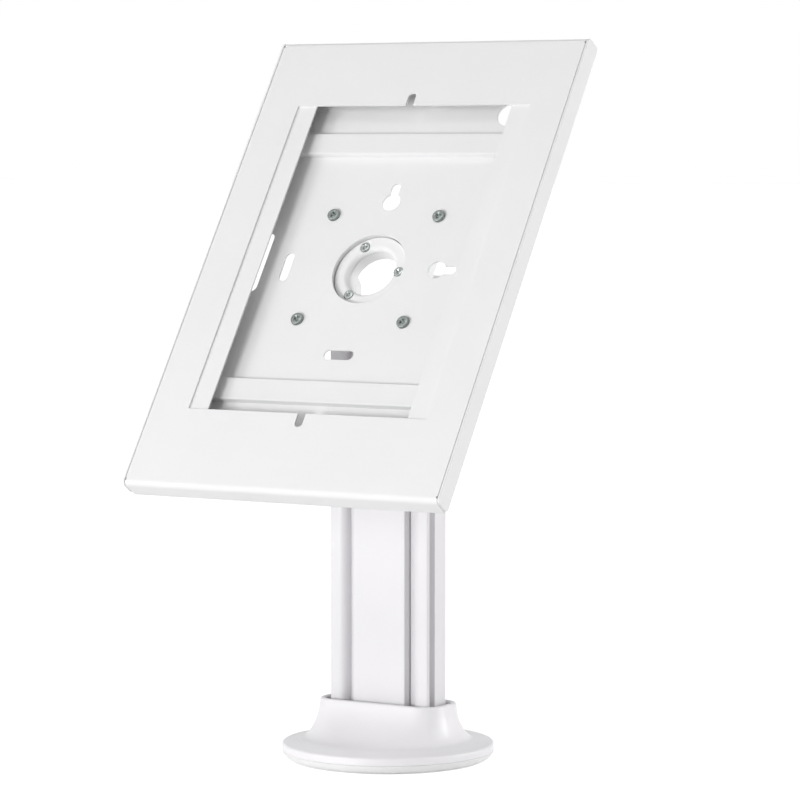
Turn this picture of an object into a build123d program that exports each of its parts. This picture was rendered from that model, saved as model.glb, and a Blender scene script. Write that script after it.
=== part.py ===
"""Tablet security kiosk stand, modelled as separate pieces in one shared frame.

Millimetres. The origin is the centre of the base's underside, +Z is up and the
screen side faces -Y. Pieces of the head are drawn in a local frame whose origin
is the tilt pivot, whose +Z is the screen's outward normal and whose +Y runs up
the screen, and are then placed by one location. Depths in the head are measured
back from the screen side.
"""

import os
from math import cos, hypot, radians, sin

from build123d import *

os.makedirs("parts", exist_ok=True)

# Clearances

seat_gap = 0.3
run_gap = 0.05
thread_gap = 0.1
screw_gap = 0.25
seam_gap = 0.4

# Sizes: screws and their drives

drive_radius = 1.3
bolt_drive_radius = 2.6
drive_depth_share = 0.55
hex_sides = 6

foot_screw_radius = 2.5
foot_screw_bite = 3.5
foot_head_radius = 4.6
foot_head_height = 2.4

port_screw_radius = 2.0
port_screw_bite = 14.0
port_head_radius = 3.6
port_head_height = 2.4

hub_screw_radius = 1.5
hub_screw_bite = 6.0
hub_head_radius = 3.2
hub_head_height = 1.5
hub_head_sink = 0.8

vesa_screw_radius = 2.0
vesa_screw_bite = 5.4
vesa_head_radius = 4.1
vesa_head_height = 2.2

cam_screw_radius = 1.6
cam_screw_bite = 5.0
cam_head_radius = 3.4
cam_head_height = 1.4

# Sizes: base

base_radius = 65.2
pad_thick = 1.2
pad_lip = 1.3
plate_thick = 4.8
plate_bevel = 0.6
plate_lift = 0.3
plate_taper = 6.4
taper_swell = 0.9
anchor_inset = 13.2
anchor_count = 4
anchor_turn = 45.0
anchor_hole_radius = 3.25
foot_thick = 4.0
foot_reach_x = 3.7
foot_reach_y = 10.5
foot_corner = 6.0
foot_screw_inset_x = 6.0
foot_screw_inset_y = 5.5
port_land = 1.0

plate_top = pad_thick + plate_thick
foot_top = plate_top + foot_thick
plate_foot_radius = base_radius - plate_taper
pad_radius = plate_foot_radius - pad_lip
anchor_radius = base_radius - anchor_inset

# Sizes: column

column_length = 248.0
column_half_width = 35.3
column_half_depth = 11.0
column_corner = 1.6
wall = 2.2
web = 1.8
post_width = 11.8
groove_lip = 1.6
groove_width = 6.1
groove_depth = 5.3
port_outer_radius = 4.0
port_blend_side = 0.7
port_blend_rear = 0.4
ledge_thick = 1.4
ledge_gap = 0.6
hook_thick = 0.9
hook_reach = 1.8
hook_clear = 3.6
insert_side_gap = 4.9
insert_skin = 1.5
insert_round = 1.0

column_bottom = foot_top
column_top = column_bottom + column_length
channel_half = column_half_width - post_width
channel_rear = column_half_depth - wall
port_x = channel_half + port_blend_side - port_outer_radius
port_y = channel_rear + port_blend_rear - port_outer_radius
groove_front = groove_lip - column_half_depth
groove_rear = groove_front + groove_width
insert_half = channel_half - insert_side_gap
insert_rear = port_y - port_outer_radius - hook_clear
hook_front = insert_rear - hook_thick
ledge_rear = hook_front - seat_gap
window_half_width = port_x - port_outer_radius - wall
window_front = hook_front + seat_gap
window_rear = channel_rear - web
cable_hole_radius = hypot(port_x, port_y) - port_head_radius - screw_gap - port_land
foot_half_width = column_half_width + foot_reach_x
foot_half_depth = column_half_depth + foot_reach_y

# Sizes: base cover

cover_wall = 2.0
rim_height = 10.4
rim_round = 1.4
rim_wall = 2.2
shoulder_width = 9.2
roof_gap = 0.6
collar_gap_x = 8.2
collar_gap_y = 8.0
collar_corner = 14.0
collar_rise = 23.7
collar_wall = 3.4
collar_lip = 6.0
collar_round = 1.4
flare_sink = 0.4
# each pair is a share of the flare's height and a share of its way out to the shoulder's circle
flare_shares = ((0.0, 0.999), (0.04, 0.83), (0.091, 0.59), (0.24, 0.38), (0.448, 0.204), (0.697, 0.078),
                (1.0, 0.0))

shoulder_radius = base_radius - shoulder_width
shoulder_height = foot_top + roof_gap + cover_wall
flare_foot = shoulder_height - flare_sink
collar_top = shoulder_height + collar_rise
collar_half_width = column_half_width + collar_gap_x
collar_half_depth = column_half_depth + collar_gap_y

# Sizes: yoke and tilt pivot

yoke_floor = 8.0
pivot_rise = 20.8
cheek_thick = 10.5
cheek_spread = 8.0
yoke_edge_round = 1.2
pivot_bolt_radius = 4.0
bolt_head_radius = 6.6
bolt_recess_depth = 6.6
bolt_recess_gap = 0.8
spring_washer_thick = 1.0
cap_thick = 1.4
tilt_washer_thick = 0.5
ear_width = 6.9
ear_inset = 0.6
ear_root = 1.0
ear_skin = 1.5

yoke_floor_top = column_top + yoke_floor
pivot_height = yoke_floor_top + pivot_rise
cheek_round = column_half_depth
cheek_outer = column_half_width + cheek_spread
cheek_inner = cheek_outer - cheek_thick
ear_outer = cheek_inner - tilt_washer_thick
ear_inner = ear_outer - ear_width
bolt_hole_end = ear_inner + ear_skin
ear_round = cheek_round - ear_inset
bolt_recess_radius = bolt_head_radius + bolt_recess_gap
recess_floor = cheek_outer - bolt_recess_depth
cap_inner = cheek_outer - cap_thick
bolt_head_inner = recess_floor + spring_washer_thick
bolt_head_outer = cap_inner - seat_gap

# Sizes: enclosure

screen_tilt = 33.8
sheet = 1.2
case_width = 220.8
case_height = 322.2
case_depth = 13.9
hub_above_centre = 1.4
hub_off_centre = 1.3
fold_round = 1.6
side_rear_round = 4.5
side_front_round = 3.0
tray_lip_front = 5.0
cover_bend = 3.4
relief_radius = 0.8

side_border = 27.1
top_border = 48.9
bottom_border = 53.5
notch_x = -2.0
notch_width = 5.4
notch_top_reach = 8.9
notch_bottom_reach = 9.2
mask_show = 13.3
mask_lap_x = 8.7
mask_lap_y = 7.0
mask_thick = 0.9

tablet_room = 6.5
rail_inset = 32.4
rail_height = 15.2
rail_round = 0.8
rail_top_set = 22.7
rail_bottom_set = 20.0

case_half = case_width / 2
case_top = case_height / 2 - hub_above_centre
case_bottom = -case_height / 2 - hub_above_centre
back_front = case_depth - sheet
back_rear = case_depth
tray_top = case_top - sheet - seam_gap
tray_bottom = case_bottom + sheet + seam_gap
cover_half = case_half - sheet - seam_gap
cover_flange_rear = case_depth - seam_gap
opening_half = case_half - side_border
opening_top = case_top - top_border
opening_bottom = case_bottom + bottom_border
mask_inner = opening_half - mask_show
mask_outer = opening_half + mask_lap_x
rail_half = case_half - rail_inset
rail_front = sheet + mask_thick + tablet_room
rail_top_y = opening_top - rail_top_set
rail_bottom_y = opening_bottom + rail_bottom_set

# Sizes: hub, swivel and the holes round them

bore_radius = 15.75
boss_wall = 6.55
ring_lip = 1.9
ring_thick = 1.6
ring_entry_round = 3.0
sleeve_wall = 1.6
sleeve_length = 2.0
ring_side_gap = 0.7
front_washer_thick = 0.4
rear_washer_thick = 0.5
swivel_plate_thick = 7.0
swivel_recess_depth = 4.0
swivel_plate_corner = 7.0
swivel_edge_round = 1.0
hub_flange_reach = 6.7
hub_flange_thick = 5.6
hub_edge_round = 0.8
hub_screw_inset = 2.7
hub_screw_count = 3
hub_clear = 2.05
vesa_half = 37.5
vesa_margin = 4.5

keyhole_radius = 6.0
keyhole_set = 5.8
keyhole_slot_width = 5.8
keyhole_reach = 13.5
low_slot_length = 20.6
low_slot_width = 6.8
low_slot_set = 19.0
left_slot_length = 20.0
left_slot_width = 6.0
left_slot_set = 17.0
long_slot_length = 42.3
long_slot_width = 8.0
long_slot_inset = 30.9
long_slot_rise = 3.0
lens_radius = 8.5
lens_run = 12.0
lens_inset = 47.4
lens_drop = 47.6

boss_radius = bore_radius + boss_wall
washer_bore = boss_radius + run_gap
ring_radius = boss_radius + ring_lip
sleeve_radius = bore_radius + sleeve_wall
swivel_recess_radius = ring_radius + ring_side_gap
hub_window_radius = ring_radius + seat_gap
hub_flange_radius = boss_radius + hub_flange_reach
hub_screw_ring = boss_radius - hub_screw_inset
swivel_rear = back_rear + swivel_plate_thick
recess_face = back_rear + swivel_recess_depth
ring_rear = recess_face - run_gap - front_washer_thick
ring_front = ring_rear - ring_thick
hub_flange_front = swivel_rear + run_gap + rear_washer_thick
hub_flange_rear = hub_flange_front + hub_flange_thick
pivot_to_front = hub_flange_rear + hub_clear + cheek_round
swivel_plate_half = vesa_half + vesa_margin
keyhole_centre = swivel_plate_half + keyhole_set
keyhole_end = keyhole_centre + keyhole_reach
low_slot_y = -swivel_plate_half - low_slot_set
left_slot_x = -swivel_plate_half - left_slot_set
long_slot_x = -case_half + long_slot_inset
lens_x = case_half - lens_inset
lens_y = case_top - lens_drop

# Sizes: lock

lock_inset = 22.9
housing_radius = 13.0
housing_depth = 6.0
barrel_radius = 7.9
barrel_gap = 0.2
barrel_clear = 0.5
bezel_radius = 10.0
bezel_thick = 1.5
plug_radius = 5.0
plug_sink = 0.3
key_slot_length = 7.0
key_slot_width = 1.6
key_slot_depth = 9.0
nut_half = 10.5
nut_thick = 2.0
cam_thick = 1.5
cam_half = 4.0
cam_round = 2.0
cam_clear = 1.4
catch_gap = 0.3
catch_sheet = 1.2
catch_half = 12.0
catch_room = 1.5
catch_lip = 6.8
catch_flange = 10.6

lock_y = case_top - lock_inset
lock_hole_radius = barrel_radius + barrel_gap
housing_rear = back_rear + housing_depth
bezel_rear = housing_rear + bezel_thick
nut_front = back_front - nut_thick
catch_lip_rear = nut_front - catch_gap
catch_lip_front = catch_lip_rear - catch_sheet
cam_rear = catch_lip_front - catch_gap
cam_front = cam_rear - cam_thick
barrel_front = cam_rear + barrel_clear
catch_web_y = tray_top - sheet - catch_room
cam_length = catch_web_y - catch_sheet - cam_clear - lock_y

# Shapes

FLUSH = (Align.MIN, Align.MIN, Align.MIN)
UPWARD = (Align.CENTER, Align.CENTER, Align.MIN)
FULL_TURN = 360.0
HALF_TURN = 180.0
QUARTER_TURN = 90.0
SIDES = (-1, 1)


def block(x0, x1, y0, y1, z0, z1):
    """Box between two corners."""
    return Pos(x0, y0, z0) * Box(x1 - x0, y1 - y0, z1 - z0, align=FLUSH)


def disc(radius, z0, z1, x=0.0, y=0.0):
    """Upright cylinder between two heights."""
    return Pos(x, y, z0) * Cylinder(radius, z1 - z0, align=UPWARD)


def cross_rod(radius, x0, x1, y=0.0, z=0.0):
    """Cylinder along X between two places."""
    return Pos(x0, y, z) * Rot(0, QUARTER_TURN, 0) * Cylinder(radius, x1 - x0, align=UPWARD)


def soft_block(half_x, half_y, z0, z1, radius):
    """Centred box whose upright edges are rounded."""
    return Pos(0, 0, z0) * extrude(RectangleRounded(2 * half_x, 2 * half_y, radius), amount=z1 - z0)


def cable_window(z0, z1):
    """Cutter for the cable's way through the foot and the yoke's floor."""
    middle = (window_front + window_rear) / 2
    half_depth = (window_rear - window_front) / 2
    return Pos(0, middle, 0) * soft_block(window_half_width, half_depth, z0, z1, column_corner)


def revolved(points):
    """Solid of revolution about Z from (radius, height) points."""
    outline = Polyline(*[(r, 0, z) for r, z in points], close=True)
    return revolve(make_face(outline), Axis.Z, FULL_TURN)


def round_where(shape, radius, test):
    """Rounds the edges whose middle point passes the test."""
    return fillet([e for e in shape.edges() if test(e.center(), e)], radius)


def near(a, b, slack=0.01):
    """True when two values agree."""
    return abs(a - b) < slack


def between(side, inner, outer):
    """The two X values of a span on one side, lower first."""
    return sorted((side * inner, side * outer))


def save(node, shape):
    """Writes one node."""
    solids = shape.solids()
    export_step(Compound(children=list(solids)) if len(solids) > 1 else solids[0], f"parts/{node}.step")


def at_each(places, shape):
    """Copies of a shape at several places, as one group."""
    return Compound(children=[Pos(*place) * shape for place in places])


# Screws: each stands on height 0 with its shank downward


def drive(radius, height, depth):
    """Six-sided recess cutter whose mouth is at a height."""
    return Pos(0, 0, height - depth) * extrude(RegularPolygon(radius, hex_sides), amount=depth)


def pan_screw(radius, head_radius, head_height, reach):
    """Screw with a domed head above height 0."""
    head = disc(head_radius, 0, head_height)
    head = round_where(head, head_height / 2, lambda c, e: near(c.Z, head_height))
    head -= drive(drive_radius, head_height, head_height * drive_depth_share)
    return head + disc(radius, -reach, 0)


def flat_screw(radius, head_radius, head_height, reach):
    """Screw with a sunk cone head whose top is at height 0."""
    screw = revolved([(0, -reach), (radius, -reach), (radius, -head_height), (head_radius, 0), (0, 0)])
    return screw - drive(drive_radius, 0, head_height * drive_depth_share)


def ring_points(radius, count, first=0.0):
    """Places spaced evenly on a circle."""
    turns = [radians(first + FULL_TURN / count * i) for i in range(count)]
    return [(radius * cos(t), radius * sin(t), 0) for t in turns]


# Base

anchor_points = ring_points(anchor_radius, anchor_count, anchor_turn)
port_points = [(-port_x, port_y, 0), (port_x, port_y, 0)]
foot_screw_x = foot_half_width - foot_screw_inset_x
foot_screw_y = foot_half_depth - foot_screw_inset_y
foot_screw_points = [(sx * foot_screw_x, sy * foot_screw_y, 0) for sx in SIDES for sy in SIDES]

foot_pad = disc(pad_radius, 0, pad_thick) - disc(cable_hole_radius, 0, pad_thick)
foot_pad -= at_each(anchor_points, disc(anchor_hole_radius + screw_gap, 0, pad_thick))
save("foot_pad", foot_pad)

taper_end = plate_top - plate_bevel
taper_middle = ((plate_foot_radius + base_radius) / 2 + taper_swell,
                (plate_lift + taper_end) / 2 - taper_swell)
edge = Polyline((base_radius, 0, taper_end), (base_radius - plate_bevel, 0, plate_top), (0, 0, plate_top),
                (0, 0, plate_lift), (plate_foot_radius, 0, plate_lift))
edge += ThreePointArc((plate_foot_radius, 0, plate_lift), (taper_middle[0], 0, taper_middle[1]),
                      (base_radius, 0, taper_end))
base_plate = revolve(make_face(edge), Axis.Z, FULL_TURN)
base_plate -= disc(pad_radius + seat_gap, plate_lift, pad_thick)
base_plate -= disc(cable_hole_radius, pad_thick, plate_top)
base_plate -= at_each(anchor_points, disc(anchor_hole_radius, pad_thick, plate_top))
foot_thread = disc(foot_screw_radius + thread_gap, plate_top - foot_screw_bite - seat_gap, plate_top)
head_pocket = disc(port_head_radius + screw_gap, plate_top - port_head_height, plate_top)
base_plate -= at_each(foot_screw_points, foot_thread)
base_plate -= at_each(port_points, head_pocket)
save("base_plate", base_plate)

foot_flange = soft_block(foot_half_width, foot_half_depth, plate_top, foot_top, foot_corner)
foot_flange -= cable_window(plate_top, foot_top)
shank_way = foot_screw_radius + screw_gap
sunk_head = revolved([(0, -foot_thick), (shank_way, -foot_thick), (shank_way, -foot_head_height),
                      (foot_head_radius + screw_gap, 0), (0, 0)])
foot_flange -= Pos(0, 0, foot_top) * at_each(foot_screw_points, sunk_head)
foot_flange -= at_each(port_points, disc(port_screw_radius + screw_gap, plate_top, foot_top))
save("foot_flange", foot_flange)

foot_screw = flat_screw(foot_screw_radius, foot_head_radius, foot_head_height, foot_thick + foot_screw_bite)
save("foot_screws", Pos(0, 0, foot_top) * at_each(foot_screw_points, foot_screw))

column_screw = pan_screw(port_screw_radius, port_head_radius, port_head_height, foot_thick + port_screw_bite)
save("column_screws", Pos(0, 0, plate_top) * at_each(port_points, Rot(HALF_TURN, 0, 0) * column_screw))

# Base cover


def flare(inset, drop):
    """Lofted sweep from the shoulder's circle to the collar, pulled in by the inset and dropped."""
    faces = []
    for height_share, way_out in flare_shares:
        height = flare_foot + (collar_top - flare_foot) * height_share - drop
        half_x, half_y, corner = (size + (shoulder_radius - size) * way_out - inset
                                  for size in (collar_half_width, collar_half_depth, collar_corner))
        faces.append(Pos(0, 0, height) * RectangleRounded(2 * half_x, 2 * half_y, corner))
    return loft(faces)


skin = revolved([(0, plate_top), (base_radius, plate_top), (base_radius, rim_height),
                 (shoulder_radius, shoulder_height), (0, shoulder_height)])
skin = round_where(skin, rim_round, lambda c, e: near(c.Z, rim_height) and e.geom_type == GeomType.CIRCLE)
hollow = revolved([(0, plate_top), (base_radius - rim_wall, plate_top),
                   (base_radius - rim_wall, rim_height - cover_wall),
                   (shoulder_radius, shoulder_height - cover_wall), (0, shoulder_height - cover_wall)])
base_cover = (skin + flare(0, 0)) - hollow
base_cover -= flare(cover_wall, cover_wall) - disc(base_radius, collar_top - collar_lip, collar_top)
base_cover -= soft_block(collar_half_width - collar_wall, collar_half_depth - collar_wall,
                         plate_top, collar_top, collar_corner - collar_wall)
base_cover = round_where(base_cover, collar_round, lambda c, e: near(c.Z, collar_top))
save("base_cover", base_cover)

# Column


def rect(x0, x1, y0, y1):
    """Flat rectangle between two corners."""
    return Pos(x0, y0) * Rectangle(x1 - x0, y1 - y0, align=(Align.MIN, Align.MIN))


section = RectangleRounded(2 * column_half_width, 2 * column_half_depth, column_corner)
section -= rect(-channel_half, channel_half, -column_half_depth, channel_rear)
section = fillet([v for v in section.vertices()
                  if near(abs(v.X), channel_half) and near(v.Y, -column_half_depth)], post_width / 2)
for side in SIDES:
    section += rect(*between(side, insert_half + ledge_gap, channel_half + web / 2),
                    ledge_rear - ledge_thick, ledge_rear)
    groove = between(side, column_half_width - groove_depth, column_half_width)
    section -= rect(*groove, groove_front, groove_rear)
    chamber = between(side, channel_half + web, column_half_width - wall)
    section -= rect(*chamber, groove_rear + web, channel_rear)
    section += Pos(side * port_x, port_y) * Circle(port_outer_radius)
    port_blend = between(side, port_x, channel_half + web / 2)
    section += rect(*port_blend, port_y - port_outer_radius, channel_rear + web / 2)
    port_blend = between(side, port_x - port_outer_radius, port_x)
    section += rect(*port_blend, port_y, channel_rear + web / 2)
    section -= Pos(side * port_x, port_y) * Circle(port_screw_radius + thread_gap)
save("column_extrusion", extrude(Pos(0, 0, column_bottom) * section, amount=column_length))

insert_section = rect(-insert_half, insert_half, -column_half_depth, insert_rear)
insert_section = fillet([v for v in insert_section.vertices() if near(v.Y, -column_half_depth)], insert_round)
insert_section -= rect(-insert_half + insert_skin, insert_half - insert_skin,
                       -column_half_depth + insert_skin, insert_rear)
for side in SIDES:
    hook = between(side, insert_half - insert_skin, insert_half + hook_reach)
    insert_section += rect(*hook, hook_front, insert_rear)
save("cable_cover", extrude(Pos(0, 0, column_bottom + seat_gap) * insert_section,
                            amount=column_length - 2 * seat_gap))

# Yoke and tilt pivot

yoke = soft_block(cheek_outer, column_half_depth, column_top, yoke_floor_top, column_corner)
yoke -= cable_window(column_top, yoke_floor_top)
yoke -= at_each(port_points, disc(port_screw_radius + screw_gap, column_top, yoke_floor_top))
for side in SIDES:
    span = between(side, cheek_inner, cheek_outer)
    cheek = block(*span, -cheek_round, cheek_round, yoke_floor_top, pivot_height)
    cheek += cross_rod(cheek_round, *span, 0, pivot_height)
    cheek = round_where(cheek, yoke_edge_round, lambda c, e: near(abs(c.X), cheek_outer)
                        and c.Z > pivot_height and e.geom_type == GeomType.CIRCLE)
    yoke += cheek
    yoke -= cross_rod(pivot_bolt_radius + run_gap, *span, 0, pivot_height)
    yoke -= cross_rod(bolt_recess_radius, *between(side, recess_floor, cheek_outer), 0, pivot_height)
save("yoke", yoke)

yoke_screw = pan_screw(port_screw_radius, port_head_radius, port_head_height, yoke_floor + port_screw_bite)
save("yoke_screws", Pos(0, 0, yoke_floor_top) * at_each(port_points, yoke_screw))


def on_both_sides(build):
    """One piece per side, each built from the side's sign."""
    return Compound(children=[build(side).solids()[0] for side in SIDES])


def pivot_rod(side, radius, inner, outer):
    """Cylinder on the pivot axis between two distances from the middle."""
    return cross_rod(radius, *between(side, inner, outer), 0, pivot_height)


def pivot_bolt(side):
    """Socket-head bolt whose shank ends inside the hub's ear."""
    depth = (bolt_head_outer - bolt_head_inner) * drive_depth_share
    socket = drive(bolt_drive_radius, bolt_head_outer, depth)
    bolt = pivot_rod(side, pivot_bolt_radius, bolt_hole_end + seat_gap, bolt_head_inner)
    bolt += pivot_rod(side, bolt_head_radius, bolt_head_inner, bolt_head_outer)
    return bolt - Pos(0, 0, pivot_height) * Rot(0, side * QUARTER_TURN, 0) * socket


def pivot_washer(radius, inner, outer):
    """Builder of a washer on the pivot axis."""
    return lambda side: pivot_rod(side, radius, inner, outer) - pivot_rod(
        side, pivot_bolt_radius + run_gap, inner, outer)


save("pivot_bolts", on_both_sides(pivot_bolt))
spring_washer_radius = bolt_head_radius + seat_gap
cap_radius = bolt_recess_radius - run_gap
save("spring_washers", on_both_sides(pivot_washer(spring_washer_radius, recess_floor, bolt_head_inner)))
save("tilt_washers", on_both_sides(pivot_washer(ear_round, ear_outer, cheek_inner)))
save("pivot_caps", on_both_sides(lambda side: pivot_rod(side, cap_radius, cap_inner, cheek_outer)))

# Head: placing

head_place = Pos(0, 0, pivot_height) * Rot(QUARTER_TURN - screen_tilt, 0, 0)


def at_depth(depth):
    """Local height of a plane that lies some depth behind the screen side."""
    return pivot_to_front - depth


def slab(x0, x1, y0, y1, near_depth, far_depth):
    """Head block between two depths."""
    return block(x0, x1, y0, y1, at_depth(far_depth), at_depth(near_depth))


def spot(radius, near_depth, far_depth, x=0.0, y=0.0):
    """Head cylinder between two depths."""
    return disc(radius, at_depth(far_depth), at_depth(near_depth), x, y)


def aside(shape):
    """Moves a shell of the enclosure off the hub's centre line."""
    return Pos(-hub_off_centre, 0, 0) * shape


def save_head(node, shape):
    """Places a head piece and writes it."""
    save(node, head_place * shape)


# Head: hub and swivel

hub_screw_points = ring_points(hub_screw_ring, hub_screw_count)

hub_block = spot(hub_flange_radius, hub_flange_front, hub_flange_rear)
hub_block = round_where(hub_block, hub_edge_round, lambda c, e: near(c.Z, at_depth(hub_flange_rear)))
hub_block += spot(boss_radius, ring_rear, hub_flange_front + ear_root)
hub_block += slab(-ear_outer, ear_outer, -ear_round, ear_round, hub_flange_front, hub_flange_rear)
for side in SIDES:
    span = between(side, ear_inner, ear_outer)
    hub_block += block(*span, -ear_round, ear_round, 0, at_depth(hub_flange_rear - ear_root))
    hub_block += cross_rod(ear_round, *span)
hub_block -= spot(bore_radius, ring_rear, hub_flange_rear)
hub_block -= spot(sleeve_radius + run_gap, ring_rear, ring_rear + sleeve_length + seat_gap)
hub_block -= at_each(hub_screw_points, spot(hub_screw_radius + thread_gap, ring_rear,
                                            ring_rear + hub_screw_bite + seat_gap))
for side in SIDES:
    hub_block -= cross_rod(pivot_bolt_radius + thread_gap, *between(side, bolt_hole_end, ear_outer))
save_head("hub_block", hub_block)

retaining_ring = spot(ring_radius, ring_front, ring_rear)
retaining_ring += spot(sleeve_radius, ring_rear, ring_rear + sleeve_length)
retaining_ring -= spot(bore_radius, ring_front, ring_rear + sleeve_length)
retaining_ring = round_where(retaining_ring, ring_entry_round,
                             lambda c, e: near(c.Z, at_depth(ring_front)) and near(e.radius, bore_radius))
retaining_ring -= at_each(hub_screw_points, spot(hub_screw_radius + screw_gap, ring_front, ring_rear))
retaining_ring -= at_each(hub_screw_points, spot(hub_head_radius + screw_gap / 2, ring_front,
                                                 ring_front + hub_head_sink))
save_head("retaining_ring", retaining_ring)

hub_screw = pan_screw(hub_screw_radius, hub_head_radius, hub_head_height,
                      ring_thick - hub_head_sink + hub_screw_bite)
screw_seat = Pos(0, 0, at_depth(ring_front + hub_head_sink))
save_head("hub_screws", screw_seat * at_each(hub_screw_points, hub_screw))


def swivel_washer(radius, near_depth, far_depth):
    """Friction washer round the hub's boss."""
    return spot(radius, near_depth, far_depth) - spot(washer_bore, near_depth, far_depth)


save_head("swivel_washer_front", swivel_washer(ring_radius, ring_rear, ring_rear + front_washer_thick))
save_head("swivel_washer_rear", swivel_washer(hub_flange_radius, hub_flange_front - rear_washer_thick,
                                              hub_flange_front))

# Head: swivel plate and its screws

vesa_points = [(sx * vesa_half, sy * vesa_half, 0) for sx in SIDES for sy in SIDES]

swivel_plate = soft_block(swivel_plate_half, swivel_plate_half, at_depth(swivel_rear), at_depth(back_rear),
                          swivel_plate_corner)
swivel_plate = round_where(swivel_plate, swivel_edge_round, lambda c, e: near(c.Z, at_depth(swivel_rear)))
swivel_plate -= spot(washer_bore, back_rear, swivel_rear)
swivel_plate -= spot(swivel_recess_radius, back_rear, recess_face)
swivel_plate -= at_each(vesa_points, spot(vesa_screw_radius + thread_gap, back_rear,
                                          back_rear + vesa_screw_bite + seat_gap))
save_head("swivel_plate", swivel_plate)

vesa_screw = pan_screw(vesa_screw_radius, vesa_head_radius, vesa_head_height, sheet + vesa_screw_bite)
save_head("vesa_screws", Pos(0, 0, at_depth(back_front)) * at_each(vesa_points, vesa_screw))

# Head: rear tray


def cut_back(cutters):
    """Cutter through the tray's back from a flat outline."""
    return Pos(0, 0, at_depth(back_rear)) * extrude(cutters, amount=sheet)


def keyhole(turn):
    """Round hole with a narrower slot that runs outward."""
    length = keyhole_end - keyhole_centre + keyhole_slot_width / 2
    outline = Pos(keyhole_centre, 0) * Circle(keyhole_radius)
    outline += Pos(keyhole_end - length / 2, 0) * SlotOverall(length, keyhole_slot_width)
    return Rot(0, 0, turn) * cut_back(outline)


def slot(length, width, x, y, turn=0.0):
    """Round-ended hole through the tray's back."""
    return cut_back(Pos(x, y) * Rot(0, 0, turn) * SlotOverall(length, width))


tray = slab(-case_half, case_half, case_bottom, case_top, 0, case_depth)
tray = round_where(tray, fold_round, lambda c, e: near(abs(c.X), case_half)
                   and near(c.Z, at_depth(case_depth)))
room = slab(-case_half + sheet, case_half - sheet, case_bottom, case_top, 0, back_front)
room = round_where(room, fold_round - sheet, lambda c, e: near(abs(c.X), case_half - sheet)
                   and near(c.Z, at_depth(back_front)))
tray -= room
for edge, end in ((tray_top, case_top), (tray_bottom, case_bottom)):
    tray -= slab(-case_half + sheet, case_half - sheet, *sorted((edge, end)), 0, case_depth)
for edge, inner in ((tray_top, tray_top - sheet), (tray_bottom, tray_bottom + sheet)):
    tray += slab(-case_half + sheet, case_half - sheet, *sorted((edge, inner)), tray_lip_front, back_rear)
side_view = slab(-case_half, case_half, case_bottom, case_top, 0, case_depth)
for depth, radius in ((case_depth, side_rear_round), (0, side_front_round)):
    side_view = round_where(side_view, radius, lambda c, e: near(c.Z, at_depth(depth)) and near(c.X, 0))
tray &= side_view
tray = aside(tray)
tray -= spot(hub_window_radius, back_front, back_rear)
tray -= keyhole(0)
tray -= keyhole(QUARTER_TURN)
tray -= slot(low_slot_length, low_slot_width, 0, low_slot_y)
tray -= slot(left_slot_length, left_slot_width, left_slot_x, 0, QUARTER_TURN)
tray -= slot(long_slot_length, long_slot_width, long_slot_x, long_slot_rise, QUARTER_TURN)
tray -= slot(2 * lens_radius + lens_run, 2 * lens_radius, lens_x + lens_run / 2, lens_y)
tray -= spot(lock_hole_radius, back_front, back_rear, 0, lock_y)
tray -= at_each(vesa_points, spot(vesa_screw_radius + screw_gap, back_front, back_rear))
save_head("rear_tray", tray)

# Head: support rails


def support_rail(centre_y):
    """Shallow channel that the tablet's back rests on."""
    low = centre_y - rail_height / 2
    high = centre_y + rail_height / 2
    rail = slab(-rail_half, rail_half, low, high, rail_front, back_front)
    rail = round_where(rail, rail_round, lambda c, e: near(c.Z, at_depth(rail_front)) and near(c.X, 0))
    return rail - slab(-rail_half, rail_half, low + sheet, high - sheet, rail_front + sheet, back_front)


save_head("support_rail_upper", support_rail(rail_top_y))
save_head("support_rail_lower", support_rail(rail_bottom_y))

# Head: front cover and its mask strips


def cover_cut(outline):
    """Cutter through the cover's face from a flat outline."""
    return Pos(0, 0, at_depth(sheet)) * extrude(outline, amount=sheet)


def notch(edge, reach, way):
    """Round-ended notch that runs from the opening's edge, up or down."""
    length = reach + notch_width / 2
    return cover_cut(Pos(notch_x, edge + way * (reach - length / 2)) * Rot(0, 0, QUARTER_TURN)
                     * SlotOverall(length, notch_width))


front_cover = slab(-cover_half, cover_half, case_bottom, case_top, 0, cover_flange_rear)
front_cover = round_where(front_cover, cover_bend, lambda c, e: near(c.Z, at_depth(0)) and near(c.X, 0))
core = slab(-cover_half, cover_half, case_bottom + sheet, case_top - sheet, sheet, cover_flange_rear)
core = round_where(core, cover_bend - sheet, lambda c, e: near(c.Z, at_depth(sheet)) and near(c.X, 0))
front_cover -= core
for side in SIDES:
    for bend_y in (case_bottom + cover_bend, case_top - cover_bend):
        front_cover -= spot(relief_radius, 0, sheet, side * cover_half, bend_y)
front_cover = aside(front_cover)
front_cover -= slab(-opening_half, opening_half, opening_bottom, opening_top, 0, sheet)
front_cover -= notch(opening_top, notch_top_reach, 1)
front_cover -= notch(opening_bottom, notch_bottom_reach, -1)
save_head("front_cover", front_cover)


def mask_strip(side):
    """Strip behind the opening that narrows it to the tablet's screen."""
    return slab(*between(side, mask_inner, mask_outer), opening_bottom - mask_lap_y, opening_top + mask_lap_y,
                sheet, sheet + mask_thick)


save_head("mask_strip_left", mask_strip(-1))
save_head("mask_strip_right", mask_strip(1))

# Head: lock

catch = slab(-catch_half, catch_half, catch_web_y - catch_flange, catch_web_y, sheet, sheet + catch_sheet)
catch += slab(-catch_half, catch_half, catch_web_y - catch_sheet, catch_web_y, sheet, catch_lip_rear)
catch += slab(-catch_half, catch_half, catch_web_y - catch_lip, catch_web_y, catch_lip_front, catch_lip_rear)
save_head("lock_catch", catch)

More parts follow.
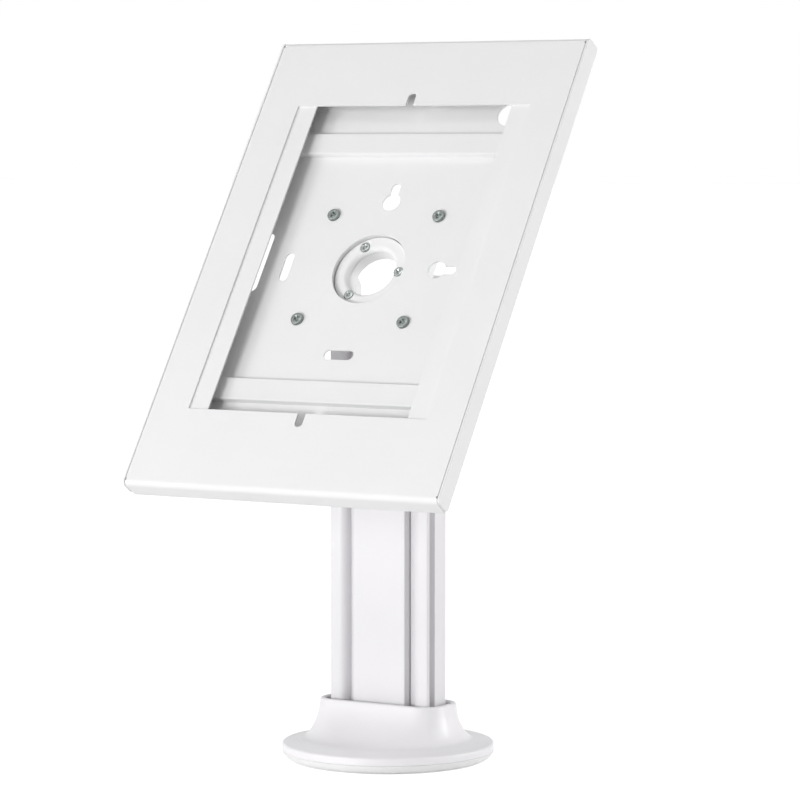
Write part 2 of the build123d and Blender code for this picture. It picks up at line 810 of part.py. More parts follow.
housing = spot(housing_radius, back_rear, housing_rear, 0, lock_y)
housing = round_where(housing, swivel_edge_round, lambda c, e: near(c.Z, at_depth(housing_rear)))
housing -= spot(lock_hole_radius, back_rear, housing_rear, 0, lock_y)
save_head("lock_housing", housing)

bezel = spot(bezel_radius, housing_rear, bezel_rear, 0, lock_y)
bezel = round_where(bezel, hub_edge_round, lambda c, e: near(c.Z, at_depth(bezel_rear)))
barrel = spot(barrel_radius, barrel_front, bezel_rear, 0, lock_y) + bezel
barrel -= spot(plug_radius + run_gap, barrel_front, bezel_rear, 0, lock_y)
save_head("lock_barrel", barrel)

nut_outline = RegularPolygon(nut_half, hex_sides, major_radius=False) - Circle(barrel_radius + thread_gap)
save_head("lock_nut", Pos(0, lock_y, at_depth(back_front)) * extrude(nut_outline, amount=nut_thick))

plug = spot(plug_radius, cam_rear, bezel_rear - plug_sink, 0, lock_y)
key_slot = Pos(0, lock_y) * Rectangle(key_slot_width, key_slot_length)
plug -= Pos(0, 0, at_depth(bezel_rear)) * extrude(key_slot, amount=key_slot_depth)
plug -= spot(cam_screw_radius + thread_gap, cam_rear, cam_rear + cam_screw_bite + seat_gap, 0, lock_y)
save_head("lock_plug", plug)

cam = slab(0, cam_length, lock_y - cam_half, lock_y + cam_half, cam_front, cam_rear)
cam = round_where(cam, cam_round, lambda c, e: near(c.X, cam_length) and near(abs(c.Y - lock_y), cam_half))
cam += spot(plug_radius, cam_front, cam_rear, 0, lock_y)
cam -= spot(cam_screw_radius + run_gap, cam_front, cam_rear, 0, lock_y)
save_head("lock_cam", cam)

cam_screw = pan_screw(cam_screw_radius, cam_head_radius, cam_head_height, cam_thick + cam_screw_bite)
save_head("cam_screw", Pos(0, lock_y, at_depth(cam_front)) * cam_screw)
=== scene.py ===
"""Looks of the tablet security kiosk stand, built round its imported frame.

Lengths are in metres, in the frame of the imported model: the origin is the
centre of the base's underside, +Z is up and the screen side faces -Y. Pieces of
the head are placed from a local frame at the tilt pivot, whose +Z is the
screen's outward normal and whose +Y runs up the screen.
"""

import logging
import math
from dataclasses import dataclass
from enum import Enum
from functools import cached_property

import bmesh
import bpy
from mathutils import Matrix, Vector


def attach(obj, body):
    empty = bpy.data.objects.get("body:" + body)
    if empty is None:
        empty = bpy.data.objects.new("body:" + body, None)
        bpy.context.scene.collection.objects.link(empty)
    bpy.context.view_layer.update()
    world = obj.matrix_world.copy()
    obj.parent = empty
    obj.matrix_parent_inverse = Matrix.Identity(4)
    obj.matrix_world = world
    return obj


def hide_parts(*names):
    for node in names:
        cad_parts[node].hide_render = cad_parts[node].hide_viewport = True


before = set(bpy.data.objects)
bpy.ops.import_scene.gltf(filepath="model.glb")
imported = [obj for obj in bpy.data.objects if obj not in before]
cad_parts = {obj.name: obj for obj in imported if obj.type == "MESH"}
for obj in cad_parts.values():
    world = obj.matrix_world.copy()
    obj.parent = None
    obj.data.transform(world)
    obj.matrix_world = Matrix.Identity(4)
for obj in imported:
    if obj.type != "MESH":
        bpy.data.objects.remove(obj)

MM = 0.001
Socket = bpy.types.NodeSocket
Pair = tuple[float, float]
Triple = tuple[float, float, float]
log = logging.getLogger("kiosk_stand")

# Spans of values that the nodes read or give.
WHOLE: Pair = (0.0, 1.0)
NOISE_SPAN: Pair = (0.3, 0.7)
SPARK_SPAN: Pair = (0.35, 0.65)
WEAR_SPAN: Pair = (0.4, 0.62)
# Dot product of the rounded and the flat normal, from where wear starts to its full.
EDGE_SPAN: Pair = (0.995, 0.85)

# How each relief differs from plain noise.
DIE_LINE_SCALE: Triple = (1.0, 1.0, 0.004)
DIE_LINE_SHARE = 0.4
BRUSH_SCALE: Triple = (1.0, 0.03, 0.03)
WAVE_SIZE_RATIO = 6
WAVE_DEPTH_RATIO = 2.5

# Layers of detail in each noise, and what all finishes share.
PLAIN_DETAIL = 2.0
TONE_DETAIL = 4.0
HAZE_DETAIL = 5.0
SPARK_DETAIL = 6.0
BEVEL_SAMPLES = 6
WEAR_PATCH = 4 * MM
WORN_SHADE = 0.82
SHARP_ANGLE = math.radians(38)
# Keeps a division by a coordinate that may be 0 from failing.
TINY = 1e-6


class Relief(Enum):
    """Small surface patterns that a finish can carry."""

    PEEL = "orange peel of powder coat on sheet"
    DRAWN = "orange peel over faint lines left by the extrusion die"
    CAST = "orange peel over the soft waves of a casting"
    SPARK = "fine matte grain of a moulding tool"
    BRUSHED = "straight brush lines"
    PEBBLED = "coarse grain of moulded rubber"


class NodeBench:
    """Lays out the shader nodes of one material or world."""

    def __init__(self, owner: bpy.types.Material | bpy.types.World) -> None:
        """Starts with an empty node tree.

        Args:
            owner: the material or world that gets the nodes.
        """
        owner.use_nodes = True
        self.tree = owner.node_tree
        self.tree.nodes.clear()

    @cached_property
    def spot(self) -> Socket:
        """Place of the shaded point in the piece's own coordinates."""
        return self.add("ShaderNodeTexCoord").outputs["Object"]

    def add(self, kind: str, inputs: dict | None = None,
            **settings: object) -> bpy.types.Node:
        """Adds one node.

        Args:
            kind: the node's type.
            inputs: values or sockets for its inputs, by name or number.
            settings: its other properties.

        Returns:
            The new node.
        """
        node = self.tree.nodes.new(kind)
        for key, value in settings.items():
            setattr(node, key, value)
        for key, value in (inputs or {}).items():
            if isinstance(value, Socket):
                self.tree.links.new(value, node.inputs[key])
            else:
                node.inputs[key].default_value = value
        return node

    def math(self, operation: str, first: Socket | float,
             second: Socket | float) -> Socket:
        """Result of one sum on numbers or sockets.

        Args:
            operation: the sum's name.
            first: left value.
            second: right value.

        Returns:
            The socket with the result.
        """
        inputs = {0: first, 1: second}
        return self.add("ShaderNodeMath", inputs, operation=operation).outputs[0]

    def noise(self, size: float, detail: float = PLAIN_DETAIL,
              scale: Triple = (1.0, 1.0, 1.0)) -> Socket:
        """Soft noise in the piece's own coordinates.

        Args:
            size: rough size of its cells.
            detail: how many finer layers it has.
            scale: scale of the coordinates along each axis. A small one
                stretches the cells.

        Returns:
            The socket with the noise, from 0 to 1.
        """
        mapping = self.add("ShaderNodeMapping", {"Vector": self.spot, "Scale": scale})
        noise = self.add("ShaderNodeTexNoise", {
            "Vector": mapping.outputs[0], "Scale": 1.0 / size, "Detail": detail})
        return noise.outputs["Fac"]

    def remap(self, value: Socket, span: Pair, new_span: Pair) -> Socket:
        """Moves a span of values to another span, without passing its ends.

        Args:
            value: the socket to read.
            span: the two values that become the ends of the new span.
            new_span: the ends of the new span.

        Returns:
            The socket with the new value.
        """
        node = self.add("ShaderNodeMapRange", {
            "Value": value, "From Min": span[0], "From Max": span[1],
            "To Min": new_span[0], "To Max": new_span[1]})
        return node.outputs["Result"]

    def blend(self, share: Socket, first: Triple | Socket,
              second: Triple | Socket) -> Socket:
        """Mixes two colours.

        Args:
            share: how much of the second colour shows.
            first: colour at 0.
            second: colour at 1.

        Returns:
            The socket with the mixed colour.
        """
        pair = [c if isinstance(c, Socket) else (*c, 1.0) for c in (first, second)]
        # Inputs 6 and 7 and output 2 are the Mix node's colours.
        inputs = {0: share, 6: pair[0], 7: pair[1]}
        return self.add("ShaderNodeMix", inputs, data_type="RGBA").outputs[2]

    def background_ray(self) -> Socket:
        """Tells the rays that show the background: seen, mirrored or refracted.

        Returns:
            The socket with 1 for such a ray and 0 for any other.
        """
        path = self.add("ShaderNodeLightPath").outputs
        either = self.math("MAXIMUM", path["Is Camera Ray"], path["Is Glossy Ray"])
        return self.math("MAXIMUM", either, path["Is Transmission Ray"])


@dataclass(frozen=True)
class Finish:
    """One finish of the stand, made from nodes.

    Attributes:
        name: the material's name.
        slot: name of its material slot; not used.
        colour: its mean colour.
        roughness: its mean roughness.
        relief: its surface pattern.
        relief_size: size of the pattern on the real surface.
        relief_depth: depth of the pattern.
        metallic: 1 for bare metal, 0 for paint, plastic or rubber.
        specular: strength of its mirror-like share.
        edge_round: radius that its sharp edges seem to have.
        edge_wear: how much of its edges is worn at most.
        tone_spread: how far its colour strays, as a share.
        haze_spread: how far its roughness strays.
        tone_size: size of the patches of tone.
        haze_size: size of the patches of roughness.
    """

    name: str
    slot: str
    colour: Triple
    roughness: float
    relief: Relief
    relief_size: float
    relief_depth: float
    metallic: float = 0.0
    specular: float = 0.5
    edge_round: float = 0.4 * MM
    edge_wear: float = 0.25
    tone_spread: float = 0.012
    haze_spread: float = 0.06
    tone_size: float = 60 * MM
    haze_size: float = 18 * MM

    def height(self, bench: NodeBench) -> Socket:
        """Height pattern of the relief.

        Args:
            bench: the material's nodes.

        Returns:
            The socket with the height, mostly from 0 to 1.
        """
        if self.relief is Relief.BRUSHED:
            return bench.noise(self.relief_size, scale=BRUSH_SCALE)
        if self.relief is Relief.SPARK:
            grain = bench.noise(self.relief_size, detail=SPARK_DETAIL)
            return bench.remap(grain, SPARK_SPAN, WHOLE)
        if self.relief is Relief.PEBBLED:
            pebbles = bench.add("ShaderNodeTexVoronoi", {
                "Vector": bench.spot, "Scale": 1.0 / self.relief_size})
            return pebbles.outputs["Distance"]
        peel = bench.noise(self.relief_size)
        if self.relief is Relief.DRAWN:
            lines = bench.noise(self.relief_size, scale=DIE_LINE_SCALE)
            return bench.math("ADD", bench.math("MULTIPLY", peel, 1 - DIE_LINE_SHARE),
                              bench.math("MULTIPLY", lines, DIE_LINE_SHARE))
        if self.relief is Relief.CAST:
            waves = bench.noise(self.relief_size * WAVE_SIZE_RATIO)
            return bench.math("ADD", peel,
                              bench.math("MULTIPLY", waves, WAVE_DEPTH_RATIO))
        return peel

    def shaded(self, bench: NodeBench, rounded: Socket) -> Socket:
        """Colour with its slow change of tone and its wear along the edges.

        Args:
            bench: the material's nodes.
            rounded: the normal with rounded edges.

        Returns:
            The socket with the colour.
        """
        flat = bench.add("ShaderNodeNewGeometry").outputs["Normal"]
        turned = bench.add("ShaderNodeVectorMath", {0: rounded, 1: flat},
                           operation="DOT_PRODUCT")
        edge = bench.remap(turned.outputs["Value"], EDGE_SPAN, WHOLE)
        patches = bench.remap(bench.noise(WEAR_PATCH), WEAR_SPAN, (0.0, self.edge_wear))
        worn = bench.math("MULTIPLY", edge, patches)
        clouds = bench.noise(self.tone_size, detail=TONE_DETAIL)
        dark = tuple(c * (1 - self.tone_spread) for c in self.colour)
        light = tuple(min(1.0, c * (1 + self.tone_spread)) for c in self.colour)
        body = bench.blend(bench.remap(clouds, NOISE_SPAN, WHOLE), dark, light)
        return bench.blend(worn, body, tuple(c * WORN_SHADE for c in self.colour))

    def material(self) -> bpy.types.Material:
        """Builds the finish's material.

        Returns:
            The new material.
        """
        made = bpy.data.materials.new(self.name)
        bench = NodeBench(made)
        rounded = bench.add("ShaderNodeBevel", {"Radius": self.edge_round},
                            samples=BEVEL_SAMPLES).outputs[0]
        haze = bench.noise(self.haze_size, detail=HAZE_DETAIL)
        sheen = (self.roughness - self.haze_spread, self.roughness + self.haze_spread)
        bump = bench.add("ShaderNodeBump", {
            "Height": self.height(bench), "Normal": rounded,
            "Distance": self.relief_depth, "Strength": 1.0})
        shader = bench.add("ShaderNodeBsdfPrincipled", {
            "Base Color": self.shaded(bench, rounded), "Normal": bump.outputs[0],
            "Roughness": bench.remap(haze, NOISE_SPAN, sheen),
            "Metallic": self.metallic, "Specular IOR Level": self.specular})
        bench.add("ShaderNodeOutputMaterial", {"Surface": shader.outputs[0]})
        return made


SHEET_WHITE = Finish(
    "sheet_powder_coat", "white_steel", (0.88, 0.878, 0.883), 0.5,
    Relief.PEEL, 0.9 * MM, 0.010 * MM, specular=0.2)
COLUMN_WHITE = Finish(
    "column_powder_coat", "white_aluminium", (0.81, 0.797, 0.817), 0.4,
    Relief.DRAWN, 0.8 * MM, 0.010 * MM)
CAST_WHITE = Finish(
    "casting_powder_coat", "white_casting", (0.86, 0.86, 0.865), 0.45,
    Relief.CAST, 1.1 * MM, 0.016 * MM, edge_round=0.6 * MM)
COVER_WHITE = Finish(
    "moulded_white", "white_plastic", (0.87, 0.856, 0.874), 0.38,
    Relief.SPARK, 0.25 * MM, 0.006 * MM, edge_round=0.6 * MM, edge_wear=0.1)
NYLON = Finish(
    "natural_nylon", "white_nylon", (0.74, 0.74, 0.7), 0.5,
    Relief.SPARK, 0.3 * MM, 0.004 * MM, edge_round=0.1 * MM, edge_wear=0.0,
    haze_spread=0.08)
ZINC = Finish(
    "dull_zinc", "zinc_steel", (0.24, 0.265, 0.255), 0.4,
    Relief.BRUSHED, 0.12 * MM, 0.004 * MM, metallic=1.0, edge_round=0.12 * MM,
    tone_spread=0.12, haze_spread=0.12, tone_size=2 * MM, haze_size=1.5 * MM)
BRIGHT_ZINC = Finish(
    "bright_zinc", "bright_steel", (0.36, 0.385, 0.38), 0.26,
    Relief.BRUSHED, 0.12 * MM, 0.003 * MM, metallic=1.0, edge_round=0.12 * MM,
    tone_spread=0.1, haze_spread=0.1, tone_size=2 * MM, haze_size=1.5 * MM)
STEEL = Finish(
    "plain_steel", "bright_steel", (0.5, 0.5, 0.49), 0.32,
    Relief.BRUSHED, 0.15 * MM, 0.003 * MM, metallic=1.0, edge_round=0.12 * MM,
    tone_spread=0.06, haze_spread=0.1, tone_size=5 * MM, haze_size=3 * MM)
CHROME = Finish(
    "lock_chrome", "chrome_lock", (0.62, 0.62, 0.63), 0.12,
    Relief.BRUSHED, 0.2 * MM, 0.001 * MM, metallic=1.0, edge_round=0.15 * MM,
    tone_spread=0.03, haze_spread=0.04, tone_size=8 * MM, haze_size=4 * MM)
RUBBER = Finish(
    "pad_rubber", "pad_rubber", (0.035, 0.035, 0.037), 0.75,
    Relief.PEBBLED, 0.5 * MM, 0.02 * MM, specular=0.3, edge_round=0.2 * MM,
    tone_spread=0.15, haze_spread=0.1, tone_size=10 * MM)


class Dresser:
    """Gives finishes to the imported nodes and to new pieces."""

    def __init__(self) -> None:
        """Starts with no material made."""
        self.made: dict[str, bpy.types.Material] = {}

    def material(self, finish: Finish) -> bpy.types.Material:
        """Material of a finish, made once.

        Args:
            finish: the finish.

        Returns:
            Its material.
        """
        if finish.name not in self.made:
            self.made[finish.name] = finish.material()
        return self.made[finish.name]

    def nodes(self, finish: Finish, *names: str) -> None:
        """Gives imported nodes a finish.

        Args:
            finish: the finish.
            names: the nodes.
        """
        for name in names:
            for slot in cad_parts[name].material_slots:
                slot.material = self.material(finish)
            log.info("dressed %s in %s", name, finish.name)

    def piece(self, name: str, mesh: bmesh.types.BMesh, finish: Finish, body: str,
              stands_for: str) -> None:
        """Turns a finished bmesh into a piece that rides on a body.

        Args:
            name: the piece's name.
            mesh: its shape, freed here.
            finish: its finish.
            body: the body that it moves with.
            stands_for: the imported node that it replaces.
        """
        bmesh.ops.recalc_face_normals(mesh, faces=mesh.faces[:])
        data = bpy.data.meshes.new(name)
        mesh.to_mesh(data)
        mesh.free()
        data.shade_smooth()
        data.set_sharp_from_angle(angle=SHARP_ANGLE)
        data.materials.append(self.material(finish))
        made = bpy.data.objects.new(name, data)
        bpy.context.scene.collection.objects.link(made)
        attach(made, body)
        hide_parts(stands_for)
        log.info("built %s: %d faces", name, len(data.polygons))


@dataclass(frozen=True)
class HeadFrame:
    """Local frame of the head at rest.

    Attributes:
        pivot_height: height of the tilt pivot over the counter.
        screen_tilt: how far the screen leans back, in degrees.
        pivot_to_front: from the pivot to the plane of the front cover's face.
    """

    pivot_height: float = 286.8 * MM
    screen_tilt: float = 33.8
    pivot_to_front: float = 40.1 * MM

    def place(self, x: float, y: float, depth: float, turn: float) -> Matrix:
        """Matrix of a spot in the head.

        Args:
            x: across the screen.
            y: up the screen, from the pivot's height.
            depth: behind the screen side.
            turn: turn about the screen's normal, in degrees.

        Returns:
            The matrix from the spot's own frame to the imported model's frame.
        """
        head = Matrix.Translation((0, 0, self.pivot_height))
        head @= Matrix.Rotation(math.radians(90 - self.screen_tilt), 4, "X")
        spot = Matrix.Translation((x, y, self.pivot_to_front - depth))
        return head @ spot @ Matrix.Rotation(math.radians(turn), 4, "Z")


@dataclass(frozen=True)
class CrossScrew:
    """Screw with a low domed head and a cross recess, its head above height 0.

    Attributes:
        shank_radius: radius over the thread.
        head_radius: the head's radius.
        head_height: the head's height.
        reach: how far the shank goes down.
        pitch: the thread's pitch.
        thread_depth: depth of the thread's grooves.
        arm_reach_share: reach of the recess's arms, of the head's radius.
        arm_width_share: half width of the arms, of the head's radius.
        recess_shares: the recess's loops from its floor out, as shares of the
            arms' reach, of the head's height and of the arms' width.
        dome_shares: the dome's loops from the recess out, as shares of the
            head's radius and height.
        segments: points in a loop.
    """

    shank_radius: float
    head_radius: float
    head_height: float
    reach: float
    pitch: float = 0.7 * MM
    thread_depth: float = 0.28 * MM
    arm_reach_share: float = 0.62
    arm_width_share: float = 0.2
    recess_shares: tuple[Triple, ...] = (
        (0.45, 0.38, 0.7), (0.85, 0.92, 1.0), (1.0, 1.0, 1.15))
    dome_shares: tuple[Pair, ...] = (
        (0.8, 0.98), (0.93, 0.86), (0.99, 0.55), (1.0, 0.15), (0.985, 0.0))
    segments: int = 48

    def loop(self, mesh: bmesh.types.BMesh, radius: float, height: float,
             width: float = 0.0) -> list[bmesh.types.BMEdge]:
        """Adds one loop of the screw.

        Args:
            mesh: the shape so far.
            radius: the loop's radius, or the reach of the cross.
            height: the loop's height.
            width: half width of the cross's arms, or 0 for a circle.

        Returns:
            The loop's edges.
        """
        made = bmesh.ops.create_circle(
            mesh, segments=self.segments, radius=radius,
            matrix=Matrix.Translation((0, 0, height)))
        ring = made["verts"]
        if width:
            for vert in ring:
                # The point comes in until it meets an arm's side, but no further
                # than the corner between two arms.
                across, along = sorted(
                    (abs(vert.co.x) / radius, abs(vert.co.y) / radius))
                scale = min(1.0, width / (radius * max(across, TINY)))
                scale = max(scale, width / (radius * max(along, TINY)))
                vert.co.x *= scale
                vert.co.y *= scale
        return list({edge for vert in ring for edge in vert.link_edges})

    def loops(self, screw: bmesh.types.BMesh) -> list[list[bmesh.types.BMEdge]]:
        """Adds every loop, from the recess's floor to the screw's tip.

        Args:
            screw: the shape so far.

        Returns:
            The edges of each loop.
        """
        arm_reach = self.head_radius * self.arm_reach_share
        arm_width = self.head_radius * self.arm_width_share
        made = [self.loop(screw, arm_reach * r, self.head_height * h, arm_width * w)
                for r, h, w in self.recess_shares]
        made += [self.loop(screw, self.head_radius * r, self.head_height * h)
                 for r, h in self.dome_shares]
        made.append(self.loop(screw, self.shank_radius, 0.0))
        root_radius = self.shank_radius - self.thread_depth
        depth = self.pitch
        while depth < self.reach - self.pitch:
            made.append(self.loop(screw, self.shank_radius, -depth))
            made.append(self.loop(screw, root_radius, -depth - self.pitch / 2))
            depth += self.pitch
        made.append(self.loop(screw, root_radius, -self.reach))
        return made

    def build(self, mesh: bmesh.types.BMesh, place: Matrix) -> None:
        """Adds the whole screw at a place.

        Args:
            mesh: the shape to add to.
            place: where the underside of the head is.
        """
        screw = bmesh.new()
        loops = self.loops(screw)
        for first, second in zip(loops, loops[1:]):
            bmesh.ops.bridge_loops(screw, edges=first + second)
        for end in (loops[0], loops[-1]):
            bmesh.ops.contextual_create(screw, geom=end)
        bmesh.ops.transform(screw, matrix=place, verts=screw.verts[:])
        scratch = bpy.data.meshes.new("scratch")
        screw.to_mesh(scratch)
        screw.free()
        mesh.from_mesh(scratch)
        bpy.data.meshes.remove(scratch)


@dataclass
class Base:
    """Rubber pad, plate, foot flange and the moulded cover over them."""

    coat: Finish = SHEET_WHITE
    cover: Finish = COVER_WHITE
    pad: Finish = RUBBER
    screws: Finish = ZINC

    def dress(self, dresser: Dresser) -> None:
        """Gives the base's nodes their finishes.

        Args:
            dresser: giver of finishes.
        """
        dresser.nodes(self.pad, "foot_pad")
        dresser.nodes(self.coat, "base_plate", "foot_flange")
        dresser.nodes(self.cover, "base_cover")
        dresser.nodes(self.screws, "foot_screws", "column_screws")


@dataclass
class Column:
    """Extruded column and the cover clipped into its channel."""

    coat: Finish = COLUMN_WHITE

    def dress(self, dresser: Dresser) -> None:
        """Gives the column's nodes their finish.

        Args:
            dresser: giver of finishes.
        """
        dresser.nodes(self.coat, "column_extrusion", "cable_cover")


@dataclass
class TiltJoint:
    """Yoke with its bolts, washers and caps."""

    coat: Finish = CAST_WHITE
    screws: Finish = ZINC
    washers: Finish = NYLON
    caps: Finish = COVER_WHITE

    def dress(self, dresser: Dresser) -> None:
        """Gives the tilt joint's nodes their finishes.

        Args:
            dresser: giver of finishes.
        """
        dresser.nodes(self.coat, "yoke")
        dresser.nodes(self.screws, "yoke_screws", "pivot_bolts", "spring_washers")
        dresser.nodes(self.washers, "tilt_washers")
        dresser.nodes(self.caps, "pivot_caps")


@dataclass
class SwivelHub:
    """Hub, retaining ring and the plate that swivels on them.

    Attributes:
        coat: finish of the castings.
        ring: finish of the retaining ring.
        washers: finish of the friction washers.
        screws: finish of the ring's screws.
        screw_circle: radius of the circle that the screws stand on.
        screw_depth: from the screen side to the underside of their heads.
        screw: one screw.
        recess_turns: turn of each screw's recess, in degrees.
    """

    coat: Finish = CAST_WHITE
    ring: Finish = SHEET_WHITE
    washers: Finish = NYLON
    screws: Finish = BRIGHT_ZINC
    screw_circle: float = 19.6 * MM
    screw_depth: float = 16.65 * MM
    screw: CrossScrew = CrossScrew(
        shank_radius=1.5 * MM, head_radius=3.2 * MM, head_height=1.5 * MM,
        reach=6.8 * MM, pitch=0.5 * MM, thread_depth=0.2 * MM)
    recess_turns: tuple[float, ...] = (20.0, 75.0, 48.0)

    def dress(self, dresser: Dresser) -> None:
        """Gives the hub's nodes their finishes.

        Args:
            dresser: giver of finishes.
        """
        dresser.nodes(self.coat, "hub_block", "swivel_plate")
        dresser.nodes(self.ring, "retaining_ring")
        dresser.nodes(self.washers, "swivel_washer_front", "swivel_washer_rear")

    def build(self, dresser: Dresser, head: HeadFrame) -> None:
        """Builds the ring's three screws.

        Args:
            dresser: maker of pieces.
            head: the head's frame.
        """
        mesh = bmesh.new()
        for number, turn in enumerate(self.recess_turns):
            angle = math.tau * number / len(self.recess_turns)
            x = self.screw_circle * math.cos(angle)
            y = self.screw_circle * math.sin(angle)
            self.screw.build(mesh, head.place(x, y, self.screw_depth, turn))
        dresser.piece("ring_screws", mesh, self.screws, "tilt_hub", "hub_screws")


@dataclass
class Enclosure:
    """Rear tray, its rails and the screws into the swivel plate.

    Attributes:
        coat: finish of the sheet metal.
        screws: finish of the screws.
        square_half: half the side of the square that the screws stand on.
        screw_depth: from the screen side to the underside of their heads.
        screw: one screw.
        recess_turns: turn of each screw's recess, in degrees.
    """

    coat: Finish = SHEET_WHITE
    screws: Finish = ZINC
    square_half: float = 37.5 * MM
    screw_depth: float = 12.7 * MM
    screw: CrossScrew = CrossScrew(
        shank_radius=2.0 * MM, head_radius=4.1 * MM, head_height=2.2 * MM,
        reach=6.6 * MM)
    recess_turns: tuple[float, ...] = (38.0, 66.0, 52.0, 12.0)

    def dress(self, dresser: Dresser) -> None:
        """Gives the enclosure's nodes their finish.

        Args:
            dresser: giver of finishes.
        """
        dresser.nodes(self.coat, "rear_tray", "support_rail_upper", "support_rail_lower")

    def build(self, dresser: Dresser, head: HeadFrame) -> None:
        """Builds the four screws of the square.

        Args:
            dresser: maker of pieces.
            head: the head's frame.
        """
        half = self.square_half
        corners = [(x, y) for x in (-half, half) for y in (-half, half)]
        mesh = bmesh.new()
        for (x, y), turn in zip(corners, self.recess_turns):
            self.screw.build(mesh, head.place(x, y, self.screw_depth, turn))
        dresser.piece("square_screws", mesh, self.screws, "enclosure", "vesa_screws")


@dataclass
class FrontCover:
    """Front cover with its mask strips and lock catch."""

    coat: Finish = SHEET_WHITE

    def dress(self, dresser: Dresser) -> None:
        """Gives the front cover's nodes their finish.

        Args:
            dresser: giver of finishes.
        """
        dresser.nodes(self.coat, "front_cover", "mask_strip_left", "mask_strip_right",
                      "lock_catch")


@dataclass
class Lock:
    """Cam lock in the enclosure's back."""

    housing: Finish = CAST_WHITE
    barrel: Finish = CHROME
    steel: Finish = STEEL

    def dress(self, dresser: Dresser) -> None:
        """Gives the lock's nodes their finishes.

        Args:
            dresser: giver of finishes.
        """
        dresser.nodes(self.housing, "lock_housing")
        dresser.nodes(self.barrel, "lock_barrel", "lock_plug")
        dresser.nodes(self.steel, "lock_nut", "lock_cam", "cam_screw")


def stand(name: str, data: bpy.types.ID, way: Vector, front: str) -> bpy.types.Object:
    """Adds a lamp or camera at the origin, turned to face one way.

    Args:
        name: the object's name.
        data: its lamp or camera.
        way: direction in space.
        front: the object's own axis that points that way.

    Returns:
        The new object.
    """
    made = bpy.data.objects.new(name, data)
    made.rotation_euler = way.to_track_quat(front, "Y").to_euler()
    bpy.context.scene.collection.objects.link(made)
    return made


@dataclass(frozen=True)
class Lamp:
    """One soft far lamp.

    Attributes:
        name: the lamp's name.
        towards: direction from the object to the lamp.
        level: brightness that a white face square to it gets.
        spread: angle that it covers in the sky, in degrees.
    """

    name: str
    towards: Triple
    level: float
    spread: float

    def light(self) -> None:
        """Adds the lamp."""
        data = bpy.data.lights.new(self.name, "SUN")
        data.energy = math.pi * self.level
        data.angle = math.radians(self.spread)
        stand(self.name, data, Vector(self.towards), "Z")


@dataclass(frozen=True)
class SoftBox:
    """One near lamp with a wide square face.

    Attributes:
        name: the lamp's name.
        place: the middle of its face.
        target: the place that it points at.
        level: brightness that a white face at its target, square to it, gets.
        side: the side of its face.
    """

    name: str
    place: Triple
    target: Triple
    level: float
    side: float

    def light(self) -> None:
        """Adds the lamp, which is itself out of the camera's sight."""
        way = Vector(self.place) - Vector(self.target)
        data = bpy.data.lights.new(self.name, "AREA")
        data.shape = "RECTANGLE"
        data.size = self.side
        data.size_y = self.side
        data.energy = 4 * math.pi * self.level * way.length_squared
        lamp = stand(self.name, data, way, "Z")
        lamp.location = self.place
        lamp.visible_camera = False


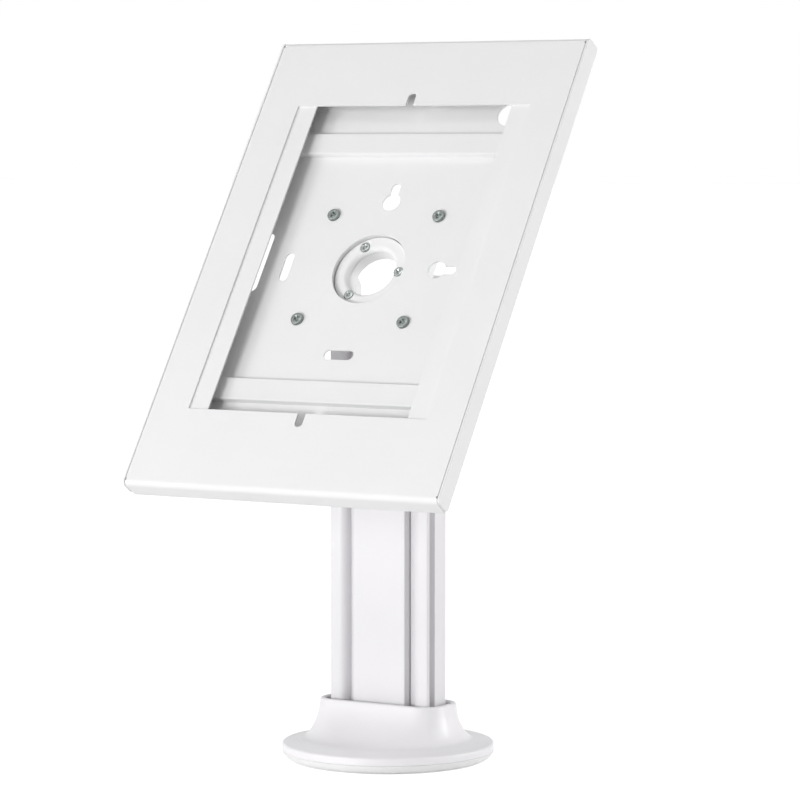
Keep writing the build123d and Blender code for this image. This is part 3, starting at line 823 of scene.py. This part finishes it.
@dataclass
class Studio:
    """Pale floor, white surroundings and soft lamps.

    Attributes:
        floor_half: half the floor's side.
        floor_colour: the floor's colour.
        floor_low_share: the grain's dark colour, as a share of the floor's.
        floor_glow: what lifts the floor to white where it is seen.
        grain_size: size of the floor's grain.
        grain_detail: finer layers in the grain.
        grain_span: least and most of floor_colour in the grain's blend.
        ambient: brightness of the surroundings as a light.
        lamps: the lamps.
    """

    floor_half: float = 30.0
    floor_colour: Triple = (0.93, 0.93, 0.93)
    floor_low_share: float = 0.97
    floor_glow: float = 0.63
    grain_size: float = 0.2
    grain_detail: float = 3.0
    grain_span: Pair = (0.985, 1.0)
    ambient: float = 0.36
    lamps: tuple[Lamp | SoftBox, ...] = (
        SoftBox("front_lamp", (-0.24, -1.5, 0.1), (0.0, -0.05, 0.25), 0.36, side=0.4),
        Lamp("left_lamp", (-0.6, -0.8, 0.1), 0.3, spread=24.0),
        Lamp("side_lamp", (0.76, 0.5, 0.2), 0.58, spread=36.0),
        Lamp("high_lamp", (-0.15, -0.6, 0.8), 0.11, spread=30.0),
    )

    def floor_material(self) -> bpy.types.Material:
        """Builds the floor's material, which glows only where it is seen.

        Returns:
            The new material.
        """
        made = bpy.data.materials.new("studio_floor")
        bench = NodeBench(made)
        noise = bench.noise(self.grain_size, detail=self.grain_detail)
        grain = bench.remap(noise, NOISE_SPAN, self.grain_span)
        low = tuple(c * self.floor_low_share for c in self.floor_colour)
        matte = bench.add("ShaderNodeBsdfDiffuse", {
            "Color": bench.blend(grain, low, self.floor_colour)})
        glow = bench.add("ShaderNodeEmission", {
            "Strength": bench.math("MULTIPLY", bench.background_ray(), self.floor_glow)})
        both = bench.add("ShaderNodeAddShader", {0: matte.outputs[0], 1: glow.outputs[0]})
        bench.add("ShaderNodeOutputMaterial", {"Surface": both.outputs[0]})
        return made

    def build_floor(self) -> None:
        """Makes the floor, which keeps the object's shadow."""
        mesh = bmesh.new()
        bmesh.ops.create_grid(mesh, x_segments=1, y_segments=1, size=self.floor_half)
        data = bpy.data.meshes.new("floor")
        mesh.to_mesh(data)
        mesh.free()
        data.materials.append(self.floor_material())
        floor = bpy.data.objects.new("floor", data)
        bpy.context.scene.collection.objects.link(floor)

    def build_world(self) -> None:
        """Makes the surroundings: white where they are seen, a soft fill elsewhere."""
        world = bpy.data.worlds.new("studio_world")
        bpy.context.scene.world = world
        bench = NodeBench(world)
        level = bench.remap(bench.background_ray(), WHOLE, (self.ambient, 1.0))
        background = bench.add("ShaderNodeBackground", {
            "Strength": level, "Color": (1.0, 1.0, 1.0, 1.0)})
        bench.add("ShaderNodeOutputWorld", {"Surface": background.outputs[0]})

    def build(self) -> None:
        """Builds the floor, the world and the lamps."""
        self.build_floor()
        self.build_world()
        for lamp in self.lamps:
            lamp.light()
        bpy.context.scene.view_settings.view_transform = "Standard"


@dataclass(frozen=True)
class PhotoCamera:
    """Camera that stands where the photograph was taken.

    Attributes:
        place: where it stands.
        target: the place that it looks at.
        target_pixel: the photograph's pixel that shows the target.
        frame_pixels: width and height of the photograph.
        lens: focal length, in millimetres.
        sensor: width of the sensor, in millimetres.
        sight: how far it sees.
    """

    place: Triple = (1.1422, -1.8641, 0.3754)
    target: Triple = (0.0, 0.0, 0.23)
    target_pixel: Pair = (388.0, 385.1)
    frame_pixels: float = 800.0
    lens: float = 161.15
    sensor: float = 36.0
    sight: float = 200.0

    def build(self) -> None:
        """Makes the scene's camera, shifted so that its target is where it was."""
        data = bpy.data.cameras.new("photo_camera")
        data.lens = self.lens
        data.sensor_width = self.sensor
        data.clip_end = self.sight
        middle = self.frame_pixels / 2
        data.shift_x = (middle - self.target_pixel[0]) / self.frame_pixels
        data.shift_y = (self.target_pixel[1] - middle) / self.frame_pixels
        way = Vector(self.target) - Vector(self.place)
        camera = stand("photo_camera", data, way, "-Z")
        camera.location = self.place
        bpy.context.scene.camera = camera


def main() -> None:
    """Builds the camera, the studio and every sub-assembly."""
    logging.basicConfig(level=logging.INFO, format="%(name)s: %(message)s")
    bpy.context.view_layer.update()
    PhotoCamera().build()
    Studio().build()
    dresser = Dresser()
    head = HeadFrame()
    hub = SwivelHub()
    enclosure = Enclosure()
    for assembly in (Base(), Column(), TiltJoint(), hub, enclosure, FrontCover(), Lock()):
        assembly.dress(dresser)
        log.info("finished dressing %s", type(assembly).__name__)
    hub.build(dresser, head)
    enclosure.build(dresser, head)


if __name__ == "__main__":
    main()
